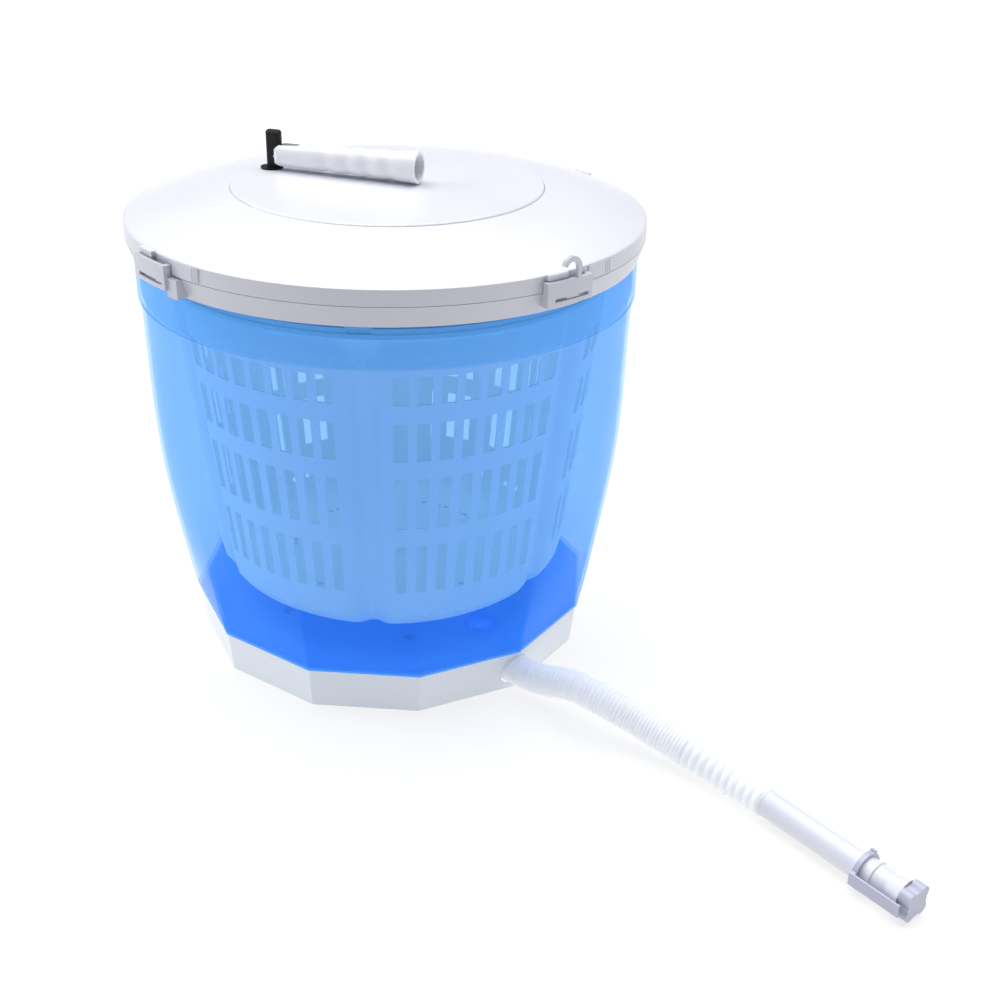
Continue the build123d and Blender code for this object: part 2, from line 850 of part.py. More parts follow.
def planet_pins():
    """Three headed pins, pushed up through the floor and the plate."""
    body = upright(planet_pin_radius, well_under, planet_pin_top)
    body += upright(planet_pin_radius + 2, well_under - 1.5, well_under)
    body -= upright(planet_bolt + running, gear_top - 4, planet_pin_top + 1)
    return group([Pos(x, y, 0) * body for x, y, angle in ring_of(3, 90, planet_circle)])


def planet_fasteners():
    """Washer and screw on each planet pin."""
    washer_body = sleeve(planet_pin_radius + 2.5, planet_pin_radius + washer_play, gear_top + seat,
                         planet_pin_top - 0.1)
    bolt = Rot(180, 0, 0) * screw(planet_bolt, 4.0, planet_pin_radius + 1, 1.2)
    solids = []
    for x, y, angle in ring_of(3, 90, planet_circle):
        solids.append(Pos(x, y, 0) * washer_body)
        solids.append(Pos(x, y, planet_pin_top) * bolt)
    return group(solids)


def planet_gear(angle):
    """Planet gear that meets a tooth of the sun and a gap of its own with a ring tooth."""
    x, y = polar(planet_circle, angle)
    gear = outer_gear(planet_teeth, angle + 180 + 180 / planet_teeth)
    gear -= upright(planet_pin_radius + running, gear_bottom - 1, gear_top + 1)
    return Pos(x, y, 0) * gear


def ring_gear():
    """Inner gear with a flange above for its screws and one below for the retainers."""
    pitch = gear_module * ring_teeth / 2
    gaps = gear_face(ring_teeth, pitch - gear_module, pitch + 1.25 * gear_module, mesh_slack,
                     180 / ring_teeth)
    hollow = pitch + 1.25 * gear_module
    body = extrude(Pos(0, 0, gear_bottom) * (Circle(ring_gear_radius) - gaps), gear_width)
    body += sleeve(ring_gear_radius, hollow, gear_top, disc_under)
    body += sleeve(ring_top_flange, hollow, disc_under - 3, disc_under)
    body += sleeve(ring_gear_radius + ring_flange, hollow, gear_bottom - 2, gear_bottom)
    for x, y, angle in ring_of(4, 0, ring_screw_circle):
        body -= upright(tap_radius, disc_under - 4, disc_under + 1, x, y)
    return body


def ring_gear_screws():
    """Four screws driven up through the ring gear into the crank disc."""
    fastener = screw(small_screw_radius, 5.0, small_screw_head, small_head_height)
    return group([Pos(x, y, disc_under - 3) * fastener
                  for x, y, angle in ring_of(4, 0, ring_screw_circle)])


def disc_retainers():
    """Three clips on the floor of the well that hook over the lower flange of the ring gear."""
    span = (-retainer_half, retainer_half)
    hook_under = gear_bottom + seat
    hook_top = hook_under + retainer_plate
    plate_level = well_top + retainer_plate
    outer = ring_top_flange + 1.5
    solids = []
    for index in range(retainer_count):
        body = sector(ring_top_flange, ring_top_flange + 13, well_top, plate_level, *span)
        body += sector(ring_top_flange - 1, outer, well_top, hook_top, *span)
        body += sector(retainer_inner, outer, hook_under, hook_top, *span)
        body -= upright(tap_radius, well_top - 1, plate_level + 1, retainer_screw_circle)
        solids.append(Rot(0, 0, retainer_turn + 360 / retainer_count * index) * body)
    return group(solids)


def retainer_screws():
    """Three screws that hold the retainers to the floor of the well."""
    fastener = Rot(180, 0, 0) * screw(small_screw_radius, retainer_plate + well_floor - seat,
                                      small_screw_head, small_head_height)
    return group([Pos(x, y, well_top + retainer_plate) * fastener
                  for x, y, angle in ring_of(retainer_count, retainer_turn, retainer_screw_circle)])


def sun_gear():
    """Sun gear with the shaft that drives the cover of the basket."""
    shoulder = cover_top + cover_hub
    body = outer_gear(sun_teeth, 0)
    body += upright(shaft_radius, shoulder, gear_bottom + 1)
    body += upright(shank_radius, cover_bottom + 1, shoulder + 1) & Pos(0, 0, shoulder) * Box(
        3 * shank_radius, 1.5 * shank_radius, 4 * cover_hub)
    return body - upright(cover_screw_radius + running, cover_bottom, cover_bottom + cover_screw_length)


# Crank disc
def crank_disc():
    """Round plate let into the lid, with a skirt outside the guide rib and a boss for the post."""
    x, y = polar(post_circle, post_angle)
    plate = upright(disc_radius, disc_under, disc_top)
    body = fillet(plate.edges().sort_by(Axis.Z)[-1], 1.2)
    body += sleeve(disc_radius - seat, disc_radius - seat - disc_skirt_width,
                   disc_under - disc_skirt, disc_under + 1)
    body += upright(post_boss_radius, disc_under - post_boss, disc_under + 1, x, y)
    body -= upright(post_spigot_radius + post_bush_wall, disc_under - post_boss - 1, disc_top + 1, x, y)
    for hole_x, hole_y, angle in ring_of(4, 0, ring_screw_circle):
        body -= upright(tap_radius, disc_under - 1, disc_under + disc_plate - 0.8, hole_x, hole_y)
    return body


def handle_bush():
    x, y = polar(post_circle, post_angle)
    return sleeve(post_spigot_radius + post_bush_wall - running, post_spigot_radius + running,
                  disc_under - post_boss, disc_top, x, y)


# Folding handle
def beside_post(body):
    """Place a body made on the axis of the post, with +X towards the middle of the disc."""
    x, y = polar(post_circle, post_angle)
    return Pos(x, y, disc_top) * Rot(0, 0, post_angle - 180) * body


def handle_post():
    """Flat post with round corners on a foot flange, with a spigot in the bush and a cross hole."""
    bar = extrude(RectangleRounded(post_width, post_thickness, post_corner), post_height - seat)
    bar = chamfer(bar.edges().group_by(Axis.Z)[-1], post_top_edge)
    body = Pos(post_inset, 0, seat) * bar
    body += upright(post_flange_radius, seat, seat + post_flange)
    body += upright(post_spigot_radius, spigot_bottom, seat + 1)
    body -= upright(post_screw_radius + running, spigot_bottom - 1,
                    spigot_bottom + post_screw_length)
    return beside_post(body - cross_pin(fold_pin_radius + running, post_thickness, post_thickness))


def post_washer():
    return beside_post(sleeve(post_spigot_radius + 4, post_screw_radius + washer_play,
                              spigot_bottom - post_washer_height, spigot_bottom))


def post_screw():
    return beside_post(Pos(0, 0, spigot_bottom - post_washer_height) * screw(
        post_screw_radius, post_screw_length, post_spigot_radius - 0.5, 2.2))


def cross_pin(radius, near, far):
    """Cylinder on the axis of the fold pin that reaches to the outer and the inner side."""
    return Pos(fold_inboard, (far - near) / 2, fold_height) * Rot(90, 0, 0) * Cylinder(
        radius, near + far)


def fold_pin():
    return beside_post(cross_pin(fold_pin_radius, fold_pin_near, fold_pin_far))


def grip_taper(along):
    """Radius of the plain cone of the grip at one distance from the fold pin."""
    return grip_near_radius + (grip_far_radius - grip_near_radius) * (along + grip_near) / grip_length


def grip_radius(along):
    """Radius of the grip where finger waves are cut into it."""
    turn = 2 * math.pi * (along - grip_wave_start) / grip_wave_length
    return grip_taper(along) - grip_wave_depth * (0.5 - 0.5 * math.cos(turn))


def grip_body():
    """Hollow turned body of the grip along +Z, with finger waves on its far part."""
    far = grip_length - grip_near
    count = grip_waves * 4
    places = [grip_wave_start + grip_wave_length * step / 4 for step in range(count + 1)]
    outline = Polyline((grip_radius(places[0]), 0, places[0]), (grip_near_radius, 0, -grip_near),
                       (0, 0, -grip_near), (0, 0, far), (grip_taper(far), 0, far),
                       (grip_radius(places[-1]), 0, places[-1]))
    outline += Spline(*[(grip_radius(place), 0, place) for place in reversed(places)])
    body = revolve(make_face(outline), Axis.Z)
    start = grip_slot_end + grip_web
    thickness = grip_wall + grip_wave_depth
    return body - turned((0, start), (grip_taper(start) - thickness, start),
                         (grip_taper(far) - thickness, far), (grip_taper(far) - thickness, far + 1),
                         (0, far + 1))


def nose_outline(nose, half):
    """Outline of the grip with two round corners at its near end, wide open further on."""
    wide = 2 * grip_far_radius
    bend = nose - nose * math.sqrt(0.5)
    tip = -grip_near
    outline = Polyline((tip + nose, half), (tip + nose, wide), (grip_length, wide),
                       (grip_length, -wide), (tip + nose, -wide), (tip + nose, -half))
    outline += ThreePointArc((tip + nose, -half), (tip + bend, bend - half), (tip, nose - half))
    if half > nose:
        outline += Line((tip, nose - half), (tip, half - nose))
    outline += ThreePointArc((tip, half - nose), (tip + bend, half - bend), (tip + nose, half))
    return make_face(outline)


def handle_grip():
    """White grip that lies on the disc and turns up round the fold pin over the post."""
    body = Rot(0, 90, 0) * grip_body()
    body &= extrude(Plane.XZ * nose_outline(grip_nose, grip_nose), 30, both=True)
    half = grip_taper(grip_nose_corner - grip_near)
    body &= extrude(nose_outline(grip_nose_corner, half), 30, both=True)
    room = post_face + 1.5 * seat
    lane = 2 * grip_slot_end
    body -= Pos(grip_slot_end, 0, -room) * Box(
        lane, grip_slot, 20, align=(Align.MAX, Align.CENTER, Align.MIN))
    body -= Pos(room, 0, 0) * Box(lane, grip_slot, 20, align=(Align.MAX, Align.CENTER, Align.MAX))
    turned_up = Rot(0, -grip_tilt, 0) * body
    placed = Pos(fold_inboard, 0, fold_height) * turned_up
    return beside_post(placed - cross_pin(fold_pin_radius + running, fold_pin_near + running,
                                          2 * grip_far_radius))


# Cover that turns the basket
def basket_cover():
    """Flat cover with a hub for the shaft and notches that take the blocks of the basket."""
    body = upright(cover_radius, cover_bottom, cover_top)
    body += upright(cover_hub_radius, cover_bottom, cover_top + cover_hub)
    fit = shank_radius + running
    hole = upright(fit, cover_bottom - 1, cover_top + cover_hub + 1)
    body -= hole & Pos(0, 0, cover_top) * Box(4 * fit, 2 * (0.75 * shank_radius + running), 60)
    notch = Box(cover_radius, block_width + 1, 2 * cover_gap + 2 * cover,
                align=(Align.MIN, Align.CENTER, Align.CENTER))
    for index in range(lobes):
        turn = lobe_turn + 360 / lobes * index
        inner = block_reach - block_depth - 0.6
        body -= Rot(0, 0, turn) * Pos(inner, 0, cover_bottom + cover / 2) * notch
    return body


def cover_screw():
    """Screw with a broad washer under the hub of the cover."""
    body = screw(cover_screw_radius, cover_screw_length - 1, 4.0, 2.0)
    body += upright(shank_radius + 3, -1, 0)
    return Pos(0, 0, cover_bottom) * body


# Basket
def basket_reach(height):
    """Radius to the crown of a lobe at one height."""
    foot = basket_top_reach - basket_taper * (basket_top - chine_top)
    if height >= chine_top:
        return foot + basket_taper * (height - chine_top)
    drop = min(1.0, (chine_top - height) / chine_height)
    return foot - chine_width * (1 - math.sqrt(1 - drop * drop))


def lobed_face(height, inset):
    """Outline of the basket at one height: crowns about the axis, round corners, narrow flutes."""
    reach = basket_reach(height)
    half = 180 / lobes
    corner = lobe_corner - inset
    hollow = flute_fillet + inset
    centre = reach - lobe_corner
    aside = math.radians(half - crown_half)
    flute = centre * math.cos(aside) + math.sqrt(
        (lobe_corner + flute_fillet) ** 2 - (centre * math.sin(aside)) ** 2)
    share = corner / (lobe_corner + flute_fillet)
    edges = []
    for index in range(lobes):
        angle = lobe_turn + half + 2 * half * index
        for side in (-1, 1):
            middle = Vector(*polar(centre, angle + side * crown_half))
            crown = Vector(*polar(reach - inset, angle + side * crown_half))
            towards = Vector(*polar(flute, angle + side * half)) - middle
            touch = middle + towards * share
            bend = (crown - middle).normalized() + towards.normalized()
            edges.append(ThreePointArc(crown, middle + bend.normalized() * corner, touch))
            if side < 0:
                first = crown
            else:
                edges.append(ThreePointArc(first, Vector(*polar(reach - inset, angle)), crown))
                bottom = Vector(*polar(flute - hollow, angle + half))
                following = Vector(*polar(centre, angle + 2 * half - crown_half))
                back = Vector(*polar(flute, angle + half)) - following
                edges.append(ThreePointArc(touch, bottom, following + back * share))
    return Pos(0, 0, height) * make_face(edges)


def basket_form(bottom, inset):
    """Ruled form of the basket from one height to the top, round the foot in a few steps."""
    heights = [bottom]
    for step in range(1, chine_steps + 1):
        height = chine_top - chine_height * math.cos(math.pi / 2 * step / chine_steps)
        if height > bottom + 1:
            heights.append(height)
    heights.append(basket_top)
    return loft([lobed_face(height, inset) for height in heights], ruled=True)


def wall_cutter(angle, bottom, top, width):
    """Box that goes through the wall of the basket at one angle."""
    middle = basket_bottom + (bottom + top) / 2
    x, y = polar(basket_reach(middle), angle)
    return Pos(x, y, middle) * Rot(0, 0, angle) * Box(14, width, top - bottom)


def slot_cutters():
    """Four rows of slots in each lobe, and a row of small holes between them at its foot."""
    step = 2 * slot_spread / (slot_columns - 1)
    cutters = []
    for index in range(lobes):
        first = lobe_turn + 180 / lobes + 360 / lobes * index - slot_spread
        for column in range(slot_columns):
            for bottom, top, width in slot_rows:
                cutters.append(wall_cutter(first + step * column, bottom, top, width))
        for column in range(slot_columns - 1):
            cutters.append(wall_cutter(first + step * (column + 0.5),
                                       foot_hole_height - foot_hole / 2,
                                       foot_hole_height + foot_hole / 2, foot_hole))
    return cutters


def basket():
    """Slotted basket with six lobes, a rim flange and blocks that the cover drives."""
    body = basket_form(basket_bottom, 0)
    hollow = basket_form(basket_bottom + basket_floor, basket_wall)
    rim = upright(basket_flange_radius, basket_top - basket_flange, basket_top)
    body = body + rim - hollow
    body += upright(basket_hub_radius, basket_bottom, basket_bottom + basket_hub)
    for index in range(lobes):
        turn = lobe_turn + 360 / lobes * index
        block = Box(block_depth, block_width, block_height + 1,
                    align=(Align.MAX, Align.CENTER, Align.MIN))
        body += Rot(0, 0, turn) * Pos(block_reach, 0, basket_top - 1) * block
    body -= slot_cutters()
    bore = pin_radius + bush_wall
    body -= upright(bore, basket_bottom - 1, basket_bottom + basket_hub + 1)
    for index in range(lobes):
        angle = lobe_turn + 180 / lobes + 360 / lobes * index
        for hole in range(weep_count):
            x, y = polar(weep_circle, angle + 5.0 * (hole - (weep_count - 1) / 2))
            body -= upright(weep_radius, basket_bottom - 1, basket_bottom + 4, x, y)
    return body


def basket_bush():
    return sleeve(pin_radius + bush_wall - running, pin_radius + running,
                  basket_bottom, basket_bottom + basket_hub - hub_relief)


pieces = {
    "base": base,
    "rubber_feet": feet,
    "base_screws": base_screws,
    "tub": tub,
    "pivot_pin": pivot_pin,
    "thrust_washer": thrust_washer,
    "drain_elbow": drain_elbow,
    "drain_seal": drain_seal,
    "drain_nut": drain_nut,
    "drain_hose": drain_hose,
    "bellows_cuff": bellows_cuff,
    "spout_tube": spout_tube,
    "cap_strap": cap_strap,
    "spout_cap": spout_cap,
    "rim_ring": rim_ring,
    "lid_shell": lid_shell,
    "shaft_housing": shaft_housing,
    "lid_gasket": lid_gasket,
    "lid_bush": lid_bush,
    "shaft_seal": shaft_seal_ring,
    "gear_plate": gear_plate_disc,
    "gear_plate_screws": gear_plate_screws,
    "planet_pins": planet_pins,
    "planet_fasteners": planet_fasteners,
    "planet_gear_1": lambda: planet_gear(90),
    "planet_gear_2": lambda: planet_gear(210),
    "planet_gear_3": lambda: planet_gear(330),
    "ring_gear": ring_gear,
    "ring_gear_screws": ring_gear_screws,
    "disc_retainers": disc_retainers,
    "retainer_screws": retainer_screws,
    "sun_gear": sun_gear,
    "crank_disc": crank_disc,
    "handle_bush": handle_bush,
    "handle_post": handle_post,
    "post_washer": post_washer,
    "post_screw": post_screw,
    "fold_pin": fold_pin,
    "handle_grip": handle_grip,
    "basket_cover": basket_cover,
    "cover_screw": cover_screw,
    "basket": basket,
    "basket_bush": basket_bush,
}

os.makedirs("parts", exist_ok=True)
for name, make in pieces.items():
    export_step(make(), f"parts/{name}.step")
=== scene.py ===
# %% [markdown]
# A hand-cranked washing machine for travel: a see-through blue tub on a white base, a slotted basket
# inside it, a white lid with a round crank disc, and a short ribbed drain hose. The shapes of the
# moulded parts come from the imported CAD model, so this lesson spends its time on the flexible parts
# and on the finish of every surface.

# %% Load the frame
import math

import bpy
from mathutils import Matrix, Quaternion, Vector


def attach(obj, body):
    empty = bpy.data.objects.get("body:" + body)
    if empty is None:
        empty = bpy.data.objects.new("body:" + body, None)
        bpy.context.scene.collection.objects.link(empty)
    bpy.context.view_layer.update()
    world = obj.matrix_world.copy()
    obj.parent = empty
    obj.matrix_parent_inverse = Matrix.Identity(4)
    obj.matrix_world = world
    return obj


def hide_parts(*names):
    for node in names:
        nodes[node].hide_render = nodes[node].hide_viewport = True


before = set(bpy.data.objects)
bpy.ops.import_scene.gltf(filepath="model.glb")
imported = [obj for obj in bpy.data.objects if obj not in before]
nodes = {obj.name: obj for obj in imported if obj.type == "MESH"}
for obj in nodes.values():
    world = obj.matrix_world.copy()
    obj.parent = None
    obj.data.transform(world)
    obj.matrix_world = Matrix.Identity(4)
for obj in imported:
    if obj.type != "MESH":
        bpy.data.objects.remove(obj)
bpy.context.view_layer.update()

print("CAD nodes:", len(nodes))

# %% [markdown]
# The camera stands where the photographer stood. Its place and direction were found by matching the
# rim, the base and the crank disc, and its small roll about the line of sight by matching the foot.
# The lens is written as a focal length on a 36 mm sensor, because that is how Blender keeps it.

# %% Camera
camera_place = Vector((0.7459, -0.5513, 0.5792))
camera_direction = Vector((-0.6628, 0.5892, -0.4621))
camera_roll = math.radians(1.632)
sensor_width = 36.0
focal_length = 48.228
farthest_view = 60.0

camera_data = bpy.data.cameras.new("camera")
camera_data.sensor_width = sensor_width
camera_data.lens = focal_length
camera_data.clip_end = farthest_view
camera = bpy.data.objects.new("camera", camera_data)
camera.location = camera_place
camera.rotation_mode = "QUATERNION"
aim = camera_direction.to_track_quat("-Z", "Y")
camera.rotation_quaternion = aim @ Quaternion((0.0, 0.0, 1.0), camera_roll)
bpy.context.scene.collection.objects.link(camera)
bpy.context.scene.camera = camera
print("Camera:", tuple(camera.location))

# %% [markdown]
# The drain hose is a short flexible tube that arches out of the base and comes down to the floor. Its
# line is drawn as a NURBS curve along the same route as the solid, because such a curve bends as
# evenly as a real hose. The hose ends in the direction in which its cuff starts, so they meet without
# a kink.

# %% Lines of the hose and the cuff
millimetres = 1000
steps_per_span = 32
hose_route = [(126.0, 0.0, 16.5), (165.0, 0.0, 16.5), (198.5, 7.6, 28.5), (230.5, 11.4, 28.0),
              (258.0, 21.4, 20.7), (293.0, 26.75, 16.3)]
cuff_route = [hose_route[-1], (328.0, 32.1, 11.9), (358.0, 31.2, 12.15)]


def line_of(name, route):
    """Points along a NURBS curve by a route, which is given in millimetres."""
    curve = bpy.data.curves.new(name, "CURVE")
    curve.dimensions = "3D"
    spline = curve.splines.new("NURBS")
    spline.points.add(len(route) - 1)
    for point, place in zip(spline.points, route):
        point.co = (*(part / millimetres for part in place), 1.0)
    spline.order_u = 3
    spline.use_endpoint_u = True
    curve.resolution_u = steps_per_span
    holder = bpy.data.objects.new(name, curve)
    bpy.context.scene.collection.objects.link(holder)
    mesh = bpy.data.meshes.new_from_object(holder)
    points = [vertex.co.copy() for vertex in mesh.vertices]
    bpy.data.objects.remove(holder)
    bpy.data.curves.remove(curve)
    bpy.data.meshes.remove(mesh)
    return points


def length_of(points):
    """Length of a line of points."""
    return sum((after - before).length for before, after in zip(points, points[1:]))


hose_line = line_of("hose_line", hose_route)
cuff_line = line_of("cuff_line", cuff_route)
print("Hose", round(length_of(hose_line), 4), "m, cuff", round(length_of(cuff_line), 4), "m")

# %% [markdown]
# A ribbed tube could be a plain tube with a bump pattern, but the ribs show on its outline, so they
# are modelled. Rings of points are set along the line, and the radius of each ring follows the shape
# of one rib: a rounded crest and a narrower groove. The wall closes at both ends into a bore.

# %% Ribbed tube along a line
tube_sides = 40
bore_spans = 24


def place_on(points, distance):
    """Place and direction at one distance along a line of points."""
    for before, after in zip(points, points[1:]):
        step = (after - before).length
        if distance <= step or after is points[-1]:
            return before.lerp(after, distance / step), (after - before).normalized()
        distance -= step


def ring_on(place, direction, radius):
    """Points of a circle square to a direction, starting level."""
    level = Vector((0.0, 0.0, 1.0)).cross(direction).normalized()
    up = direction.cross(level)
    angles = [2 * math.pi * side / tube_sides for side in range(tube_sides)]
    return [place + level * (radius * math.cos(angle)) + up * (radius * math.sin(angle))
            for angle in angles]


def ribbed_tube(name, line, ribs, shape, bore):
    """Tube whose radius repeats a rib's shape, given as (share of the pitch, radius) pairs."""
    length = length_of(line)
    outside = [((rib + share) / ribs * length, radius)
               for rib in range(ribs) for share, radius in shape]
    outside.append((length, shape[0][1]))
    inside = [(length * (1 - span / bore_spans), bore) for span in range(bore_spans + 1)]
    rings = [ring_on(*place_on(line, min(distance, length)), radius)
             for distance, radius in outside + inside]
    verts = [point for ring in rings for point in ring]
    faces = []
    for index in range(len(rings)):
        start = index * tube_sides
        end = (index + 1) % len(rings) * tube_sides
        for side in range(tube_sides):
            onward = (side + 1) % tube_sides
            faces.append((start + onward, end + onward, end + side, start + side))
    mesh = bpy.data.meshes.new(name)
    mesh.from_pydata(verts, [], faces)
    mesh.polygons.foreach_set("use_smooth", [True] * len(mesh.polygons))
    tube = bpy.data.objects.new(name, mesh)
    bpy.context.scene.collection.objects.link(tube)
    print(name, len(mesh.polygons), "faces")
    return tube


# %% [markdown]
# The hose has fine ribs close together, with rounded edges. The solid of the CAD model could be
# dressed as it is, but a mesh made along the line is smoother and has even faces, so it takes the
# solid's place. It stays with the machine's body.

# %% Drain hose with fine ribs
hose_ribs = 64
hose_bore = 0.009
hose_shape = [(0.0, 0.0105), (0.14, 0.01062), (0.26, 0.0111), (0.36, 0.0113), (0.52, 0.0113),
              (0.62, 0.0111), (0.74, 0.01062), (0.88, 0.0105)]
hose = ribbed_tube("hose", hose_line, hose_ribs, hose_shape, hose_bore)
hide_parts("drain_hose")
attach(hose, "machine")

# %% [markdown]
# The cuff between the hose and the spout has a few broad ribs with deep grooves, so that it bends
# easily there. The same function makes it from another shape.

# %% Cuff with broad ribs
cuff_ribs = 10
cuff_bore = 0.0076
cuff_shape = [(0.0, 0.0097), (0.06, 0.0098), (0.13, 0.0105), (0.22, 0.01105), (0.34, 0.0112),
              (0.52, 0.0112), (0.66, 0.01105), (0.76, 0.0105), (0.84, 0.0098), (0.92, 0.0097)]
cuff = ribbed_tube("cuff", cuff_line, cuff_ribs, cuff_shape, cuff_bore)
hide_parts("bellows_cuff")
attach(cuff, "machine")

# %% [markdown]
# The cuff, the spout tube, the strap and the cap are rigid or nearly so, and go along with the hose.

print("Hose and cuff made")

# %% [markdown]
# Moulded plastic is never one flat colour. The surface has a very fine grain from the mould, its
# gloss wanders a little, and its shade drifts by a few percent. A small toolbox builds these from
# noise on Object coordinates, which stay with the part when it moves.

# %% Helpers for the finishes
shade_scale = 9.0
gloss_scale = 14.0
blend_height = 0.0015


def new_material(name):
    """Empty material, with its node tree and its output."""
    material = bpy.data.materials.new(name)
    material.use_nodes = True
    tree = material.node_tree
    tree.nodes.clear()
    return material, tree, tree.nodes.new("ShaderNodeOutputMaterial")


def noise(tree, scale, detail=3.0):
    """Noise on Object coordinates, in metres."""
    place = tree.nodes.new("ShaderNodeTexCoord")
    pattern = tree.nodes.new("ShaderNodeTexNoise")
    pattern.inputs["Scale"].default_value = scale
    pattern.inputs["Detail"].default_value = detail
    tree.links.new(place.outputs["Object"], pattern.inputs["Vector"])
    return pattern.outputs["Fac"]


def rescale(tree, value, start, end, low, high):
    """A value's range from start to end, brought to lie between two numbers."""
    scaled = tree.nodes.new("ShaderNodeMapRange")
    scaled.inputs["From Min"].default_value = start
    scaled.inputs["From Max"].default_value = end
    scaled.inputs["To Min"].default_value = low
    scaled.inputs["To Max"].default_value = high
    tree.links.new(value, scaled.inputs["Value"])
    return scaled.outputs["Result"]


def spread(tree, value, low, high):
    """The middle of a noise value, brought to lie between two numbers."""
    return rescale(tree, value, 0.3, 0.7, low, high)


def ramp(tree, value, start, dark, end, light):
    """Colour that runs from one shade to another between two values."""
    shades = tree.nodes.new("ShaderNodeValToRGB")
    shades.color_ramp.elements[0].position = start
    shades.color_ramp.elements[0].color = (*dark, 1.0)
    shades.color_ramp.elements[1].position = end
    shades.color_ramp.elements[1].color = (*light, 1.0)
    tree.links.new(value, shades.inputs["Fac"])
    return shades.outputs["Color"]


def two_shades(tree, value, dark, light):
    """Colour that drifts between two shades with a noise value."""
    return ramp(tree, value, 0.35, dark, 0.65, light)


def height_step(tree, level, below, above):
    """Number that changes at one height, over the height of the blend."""
    place = tree.nodes.new("ShaderNodeTexCoord")
    split = tree.nodes.new("ShaderNodeSeparateXYZ")
    tree.links.new(place.outputs["Object"], split.inputs["Vector"])
    half = blend_height / 2
    return rescale(tree, split.outputs["Z"], level - half, level + half, below, above)


def mixed_colour(tree, value, lower, upper):
    """Mix of two colours by a value, on the sockets that this node keeps for colours."""
    mix = tree.nodes.new("ShaderNodeMix")
    mix.data_type = "RGBA"
    first_colour, second_colour, colour_out = 6, 7, 2
    tree.links.new(value, mix.inputs["Factor"])
    tree.links.new(lower, mix.inputs[first_colour])
    tree.links.new(upper, mix.inputs[second_colour])
    return mix.outputs[colour_out]


def grain(tree, scale, height):
    """Bump from fine noise, with its height in metres."""
    bump = tree.nodes.new("ShaderNodeBump")
    bump.inputs["Distance"].default_value = height
    bump.inputs["Strength"].default_value = 1.0
    tree.links.new(noise(tree, scale, 2.0), bump.inputs["Height"])
    return bump.outputs["Normal"]


def glow(surface, colour, strength):
    """Faint light of a surface's own: an even glow on the floor, painted light on the plastics."""
    surface.inputs["Emission Color"].default_value = (*colour, 1.0)
    surface.inputs["Emission Strength"].default_value = strength


def plastic(name, dark, light, gloss, grain_scale, grain_height):
    """Moulded plastic between two close shades, with a gloss range and a fine grain."""
    material, tree, output = new_material(name)
    surface = tree.nodes.new("ShaderNodeBsdfPrincipled")
    shade = two_shades(tree, noise(tree, shade_scale), dark, light)
    tree.links.new(shade, surface.inputs["Base Color"])
    roughness = spread(tree, noise(tree, gloss_scale), *gloss)
    tree.links.new(roughness, surface.inputs["Roughness"])
    tree.links.new(grain(tree, grain_scale, grain_height), surface.inputs["Normal"])
    tree.links.new(surface.outputs["BSDF"], output.inputs["Surface"])
    return material, surface


def dress(material, *names):
    """Give CAD nodes a finish by filling their material slots."""
    for name in names:
        for slot in nodes[name].material_slots:
            slot.material = material
    print(material.name, "on", ", ".join(names))


# %% [markdown]
# The mouldings share one glossy white plastic, but they don't look alike in the photograph: the lid
# is the brightest, its skirt and the ring under it are greyer, the base is cooler, and the cap on the
# spout is nearly lilac. The grey of the skirt, the ring and the cap is painted shade, and the cool
# blue of the base is painted light from the blue tub. So one function makes the plastic, and each part
# has its own pair of shades.

# %% White mouldings
lid_shoulder = 0.3264
lid_shades = ((0.83, 0.835, 0.875), (0.86, 0.865, 0.905))
# The skirt's greyer pair is painted shade, as the skirt faces away from the light above.
painted_skirt_shades = ((0.61, 0.615, 0.675), (0.64, 0.645, 0.705))


def white_moulding(name, dark, light):
    """Glossy white plastic under a thin clear coat."""
    material, surface = plastic(name, dark, light, (0.30, 0.35), 700.0, 0.000004)
    surface.inputs["Coat Weight"].default_value = 0.12
    surface.inputs["Coat Roughness"].default_value = 0.2
    return material


def lid_moulding():
    """White plastic of the lid, with painted shade on the skirt, which makes it greyer than the dome.
    """
    material = white_moulding("lid_moulding", *lid_shades)
    tree = material.node_tree
    pattern = noise(tree, shade_scale)
    skirt = two_shades(tree, pattern, *painted_skirt_shades)
    dome = two_shades(tree, pattern, *lid_shades)
    # Below the shoulder the lid takes the painted shade of the skirt.
    shade = mixed_colour(tree, height_step(tree, lid_shoulder, 0.0, 1.0), skirt, dome)
    tree.links.new(shade, tree.nodes["Principled BSDF"].inputs["Base Color"])
    return material


dress(lid_moulding(), "lid_shell", "shaft_housing", "crank_disc")
dress(white_moulding("grip_white", (0.92, 0.92, 0.95), (0.94, 0.94, 0.97)), "handle_grip")
# The ring's grey is painted shade, as its upright face gets little of the light from above.
dress(white_moulding("ring_white_painted_shade", (0.56, 0.565, 0.625), (0.59, 0.595, 0.655)), "rim_ring")
# The base's cool blue is painted light, the blue light that the tub spills onto it.
dress(white_moulding("base_white_painted_tub_light", (0.87, 0.92, 0.98), (0.89, 0.94, 0.99)), "base")
dress(white_moulding("spout_white", (0.72, 0.73, 0.79), (0.75, 0.76, 0.815)), "spout_tube")
# The grey lilac of the cap and its strap is painted shade.
dress(white_moulding("cap_white_painted_shade", (0.47, 0.48, 0.59), (0.50, 0.51, 0.62)), "spout_cap",
      "cap_strap")


# %% [markdown]
# The basket is a plainer white than the lid, and the blue tub tints it from outside. Its thin wall
# lets some light through, which this finish doesn't, so it glows very faintly instead.

# %% Basket plastic
def basket_moulding():
    """Plain white plastic with a soft gloss and a faint blue glow."""
    material, surface = plastic("basket_moulding", (0.90, 0.92, 0.94), (0.92, 0.94, 0.96),
                                (0.36, 0.48), 700.0, 0.000006)
    glow(surface, (0.50, 0.85, 1.0), 0.09)
    return material


dress(basket_moulding(), "basket", "basket_cover")
